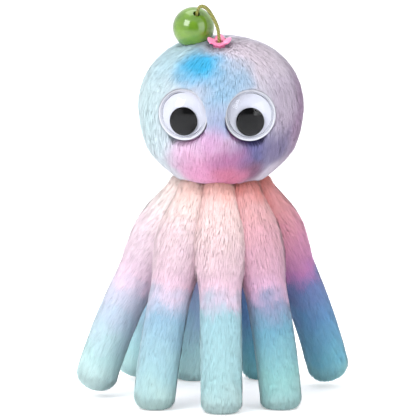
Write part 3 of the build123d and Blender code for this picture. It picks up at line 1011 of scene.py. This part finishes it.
def arm_profile():
    """Along an arm from the root's pole to the tip's: a ball of the root's radius, a cone that
    opens to the full radius with a slight swell, the drooping tube, and a ball for the tip.
    Returns places along the middle line and radii, evenly spaced."""
    cap = np.linspace(0, np.pi / 2, 60)
    root = np.stack([-arm_root_radius * np.cos(cap), arm_root_radius * np.sin(cap)], 1)
    place = np.linspace(0, arm_taper_length + arm_droop_length, 400)
    straight = np.minimum(place / arm_taper_length, 1)
    swell = np.sin(np.pi * np.clip((place - 0.004) / 0.042, 0, 1)) ** 2
    girth = arm_root_radius + (arm_radius - arm_root_radius) * straight + arm_puff * swell
    tube = np.stack([place, girth], 1)
    tip = np.stack([place[-1] + arm_radius * np.sin(cap), arm_radius * np.cos(cap)], 1)
    line = np.vstack([root[:-1], tube, tip[1:]])
    run = np.concatenate([[0], np.cumsum(np.linalg.norm(np.diff(line, axis=0), axis=1))])
    even = np.linspace(0, run[-1], 500)
    return np.stack([np.interp(even, run, line[:, 0]), np.interp(even, run, line[:, 1])], 1), even


def arm_frame(name):
    """The arm's root, the level direction it leans to, the level direction across it, and its lean."""
    joint = joints["arm_" + name + "_root"]
    hinge = np.array(joint["axis"])
    toward = np.array((-hinge[1], hinge[0], 0.0))
    across = np.array((-toward[1], toward[0], 0.0))
    return np.array(joint["pos_m"]), toward, across, math.radians(arms[name][0])


def on_arm(name, place, radius, angle):
    """Points and directions on an arm. The middle line drops straight for the taper and then turns
    on a circle by the droop; past either end it goes straight on. The point is on a ring round
    that line, and the whole leans about the root. Returns the point, the outward direction of the
    ring and the direction of the middle line."""
    root, toward, across, lean = arm_frame(name)
    bend_radius = arm_droop_length / arm_droop
    turned = np.clip((place - arm_taper_length) / arm_droop_length, 0, 1) * arm_droop
    past = np.maximum(place - arm_taper_length - arm_droop_length, 0)
    low = -np.minimum(place, arm_taper_length)
    forward = -bend_radius * (1 - np.cos(turned)) - past * np.sin(turned)
    upward = low - bend_radius * np.sin(turned) - past * np.cos(turned)
    ring_forward, ring_up = np.cos(angle) * np.cos(turned), -np.cos(angle) * np.sin(turned)
    ring_side = np.sin(angle)
    cos_lean, sin_lean = math.cos(lean), math.sin(lean)

    def lean_over(f, s, u):
        return ((f * cos_lean - u * sin_lean)[..., None] * toward + np.asarray(s)[..., None] * across
                + (u * cos_lean + f * sin_lean)[..., None] * np.array((0.0, 0.0, 1.0)))

    ring = lean_over(ring_forward, ring_side, ring_up)
    ahead = lean_over(-np.sin(turned), 0 * turned, -np.cos(turned))
    centre = root + lean_over(forward, 0 * forward, upward)
    return centre + radius[..., None] * ring, ring, ahead


arm_line, arm_run = arm_profile()
arm_length = arm_run[-1]


def arm_dye_and_shade(name, bands, is_pile):
    """Dip-dyed bands along an arm, with painted light and shade in them, their edges shaken by a
    noise a few millimetres wide.
    """
    material, tree, shader = plush_finish(name)
    shake = add_node(tree, "TexNoise", {
        "Vector": read_attribute(tree, "rest", "Vector"), "Scale": 120.0, "Detail": 2.0})
    wander = add_node(tree, "Math", {
        0: shake.outputs["Fac"], 1: 0.16, 2: read_attribute(tree, "along", "Fac")}, operation="MULTIPLY_ADD")
    ramp = add_node(tree, "ValToRGB", {"Fac": wander.outputs[0]})
    stops = ramp.color_ramp.elements
    while len(stops) < len(bands):
        stops.new(0.5)
    for stop, (share, dye_and_shade) in zip(stops, bands):
        stop.position = share + 0.08
    for stop, (share, dye_and_shade) in zip(stops, bands):
        stop.color = paint(*dye_and_shade)
    shade_strands(tree, shader, ramp.outputs["Color"], is_pile)
    return material


def store(mesh, name, values):
    """Keeps one number or one place for each vertex under that name."""
    kind, key = ("FLOAT", "value") if values.ndim == 1 else ("FLOAT_VECTOR", "vector")
    mesh.attributes.new(name, kind, "POINT").data.foreach_set(key, values.astype(np.float32).reshape(-1))


def above_table(points):
    """Nothing of an arm goes below the table top."""
    points[..., 2] = np.maximum(points[..., 2], 0.00012)
    return points


for seed, (name, (_, bands)) in enumerate(arms.items(), 3):
    rows, columns = 120, 48
    place = np.interp(np.linspace(0, arm_length, rows), arm_run, arm_line[:, 0])
    radius = np.interp(np.linspace(0, arm_length, rows), arm_run, arm_line[:, 1])
    radius[[0, -1]] = 0
    turn = np.linspace(0, 2 * np.pi, columns, endpoint=False)
    place_grid, turn_grid = np.meshgrid(place, turn, indexing="ij")
    radius_grid = np.repeat(radius[:, None], columns, 1)
    points, ring, ahead = on_arm(name, place_grid, radius_grid, turn_grid)
    cloth = "arm_" + name + "_cloth"
    skin = closed_surface(cloth, above_table(points), arm_dye_and_shade(cloth, bands, False))
    along = np.linspace(0, 1, rows)
    rest = np.stack([radius_grid * np.cos(turn_grid), radius_grid * np.sin(turn_grid), place_grid], -1)
    store(skin.data, "along", np.concatenate([np.repeat(along[1:-1], columns), [0.0, 1.0]]))
    store(skin.data, "rest", np.vstack([rest[1:-1].reshape(-1, 3), rest[0, :1], rest[-1, :1]]))

    share = spread_evenly(arm_pile_count, 0.17 * seed)
    step = np.diff(arm_run)
    area = np.concatenate([[0], np.cumsum(step * (arm_line[1:, 1] + arm_line[:-1, 1]) / 2)])
    run_at = np.interp(share[:, 0], area / area[-1], arm_run)
    place = np.interp(run_at, arm_run, arm_line[:, 0])
    radius = np.interp(run_at, arm_run, arm_line[:, 1])
    slope = np.gradient(arm_line, arm_run, axis=0)
    on, open_ = np.interp(run_at, arm_run, slope[:, 0]), np.interp(run_at, arm_run, slope[:, 1])
    angle = share[:, 1] * 2 * np.pi
    foot, ring, ahead = on_arm(name, place, radius, angle)
    out = on[:, None] * ring - open_[:, None] * ahead
    run = open_[:, None] * ring + on[:, None] * ahead
    waves = ripple(angle * arm_radius, place, 0.0046, 0.016, seed)
    shaggy = np.sin(np.pi * np.clip((place + 0.010) / 0.060, 0, 1)) ** 2
    rise = arm_pile_rise + arm_pile_extra * shaggy
    reach = arm_pile_reach * np.clip((arm_length - run_at) / 0.010, 0.35, 1)
    keep = foot[:, 2] > 0.0004
    chart = np.stack([share[:, 1], run_at / arm_length], 1)
    rest = np.stack([radius * np.cos(angle), radius * np.sin(angle), place], 1)
    fur = "arm_" + name + "_pile"
    pile = lay_pile(fur, foot[keep], out[keep], run[keep], rise[keep], reach[keep],
                    tuple(wave[keep] for wave in waves), arm_lock_relief, chart[keep],
                    arm_dye_and_shade(fur, bands, True),
                    {"along": (run_at / arm_length)[keep], "rest": rest[keep]}, seed, above_table)
    root, toward, across, lean = arm_frame(name)
    for piece in (skin, pile):
        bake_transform(piece)
    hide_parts("arm_" + name + "_cover", "arm_" + name + "_filling")
